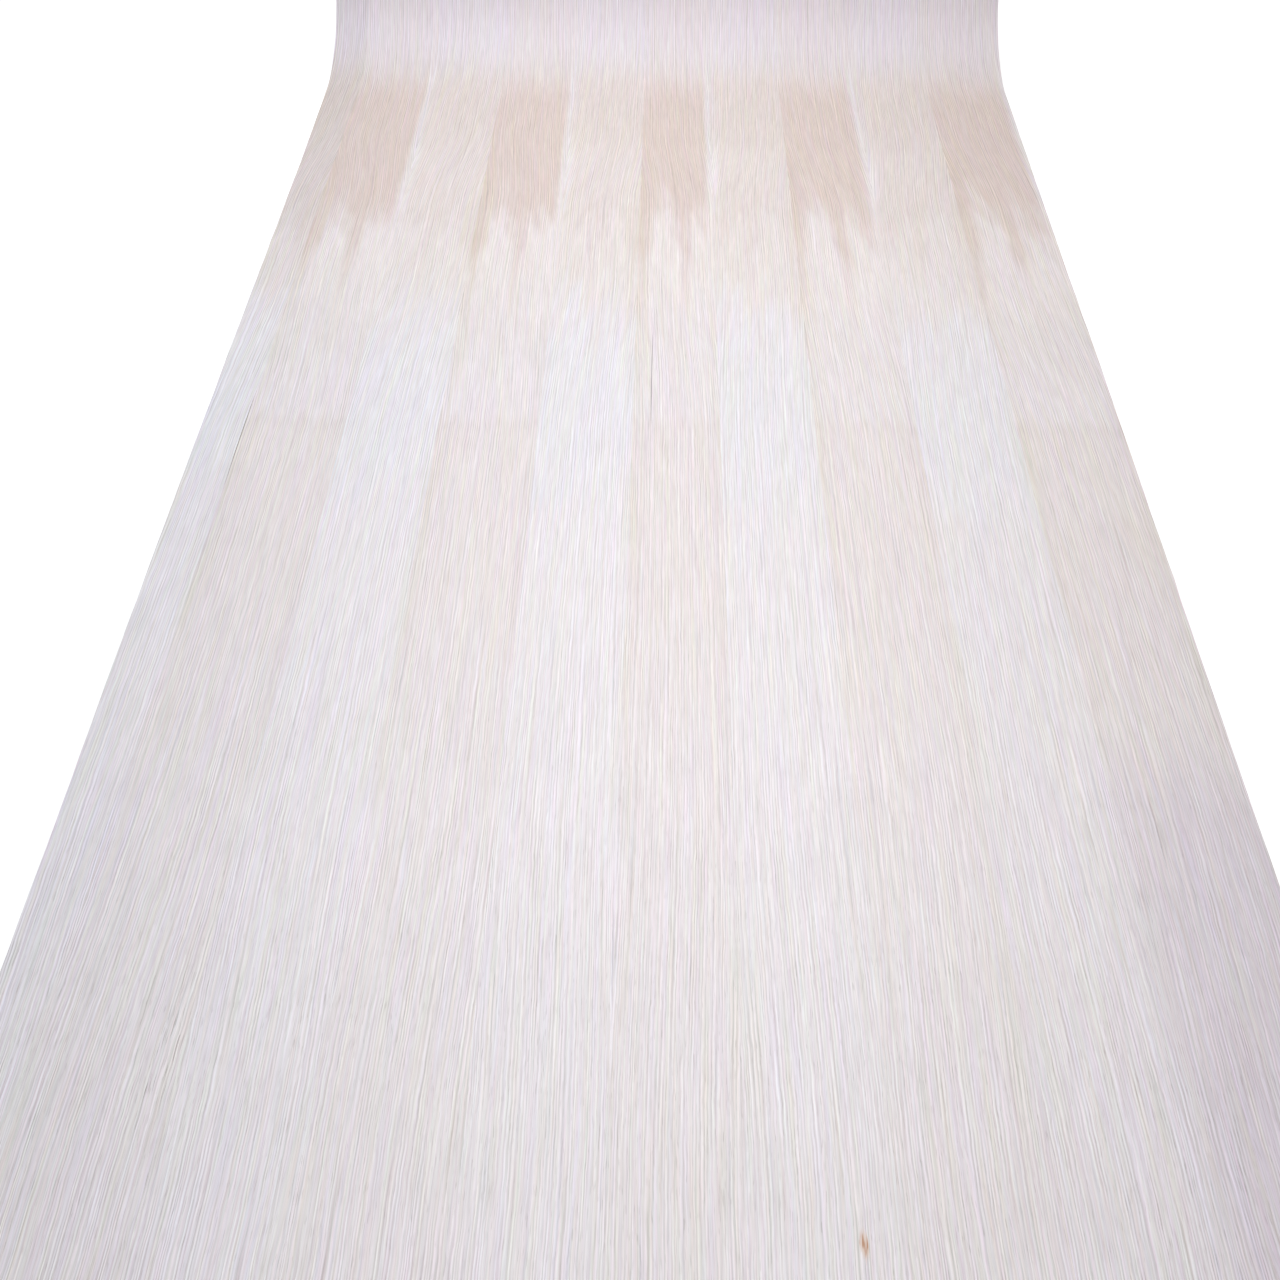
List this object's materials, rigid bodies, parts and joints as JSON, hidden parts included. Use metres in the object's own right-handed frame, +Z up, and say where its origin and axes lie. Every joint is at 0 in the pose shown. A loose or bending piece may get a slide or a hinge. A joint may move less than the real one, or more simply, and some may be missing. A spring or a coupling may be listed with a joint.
{
  "type": "wood veneer sheet",
  "caption": "Pale rift-cut oak veneer sheet of book-matched leaves spliced edge to edge, lying flat with one end curled upwards.",
  "frame": {"origin": "on the floor, below the middle of the sheet's box: the flat part's underside is at Z = 0", "axes": "+X across the leaves, +Y along the grain towards the curled end, +Z up"},
  "size_m": [1.22, 2.3948, 0.1253],
  "materials": {
    "light_face": "bare, unsanded, matt",
    "dark_face": "bare, unsanded, matt"
  },
  "bodies": {
    "root": {"leaf_01": "dark_face", "leaf_02": "light_face", "leaf_03": "dark_face", "leaf_04": "light_face", "leaf_05": "dark_face", "leaf_06": "light_face", "leaf_07": "dark_face", "leaf_08": "light_face", "leaf_09": "dark_face", "leaf_10": "light_face"}
  },
  "joints": []
}
